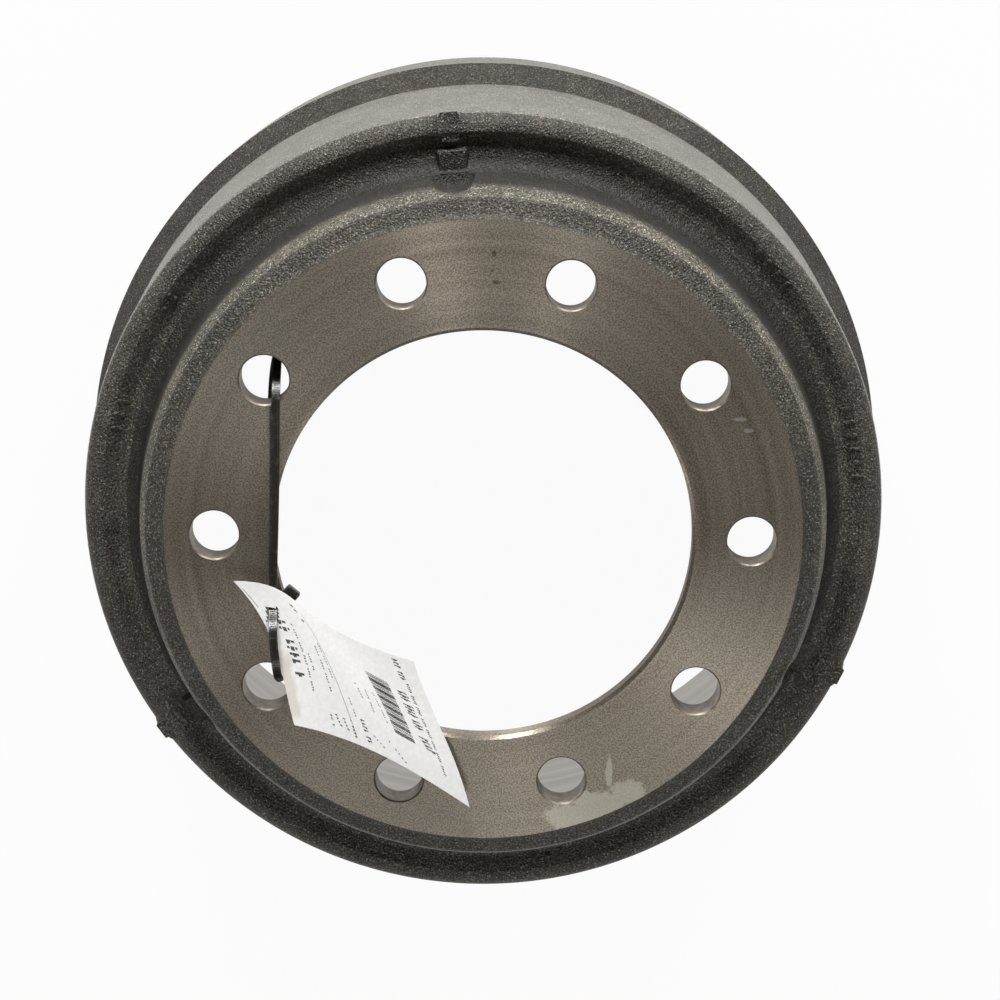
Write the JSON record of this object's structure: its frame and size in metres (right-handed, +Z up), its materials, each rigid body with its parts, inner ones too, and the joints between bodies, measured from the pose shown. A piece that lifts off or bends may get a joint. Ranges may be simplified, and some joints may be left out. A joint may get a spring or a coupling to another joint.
{
  "type": "brake drum",
  "caption": "Cast-iron brake drum for a heavy axle: a stepped, flanged cylinder with a turned bolting face and pilot bore, and a card tag tied through one bolt hole.",
  "frame": {"origin": "centre of the open rim's plane, on the drum's axis", "axes": "+Z up along the drum's axis, from the open rim to the mounting face; a bolt-hole gap lies on +Y"},
  "size_m": [0.4708, 0.4708, 0.2924],
  "materials": {
    "iron": "as-cast iron with turned faces",
    "tie_plastic": "black moulded nylon",
    "tag_card": "white coated card"
  },
  "bodies": {
    "root": {"brake_drum": "iron", "cable_tie": "tie_plastic", "hang_tag": "tag_card"}
  },
  "joints": []
}
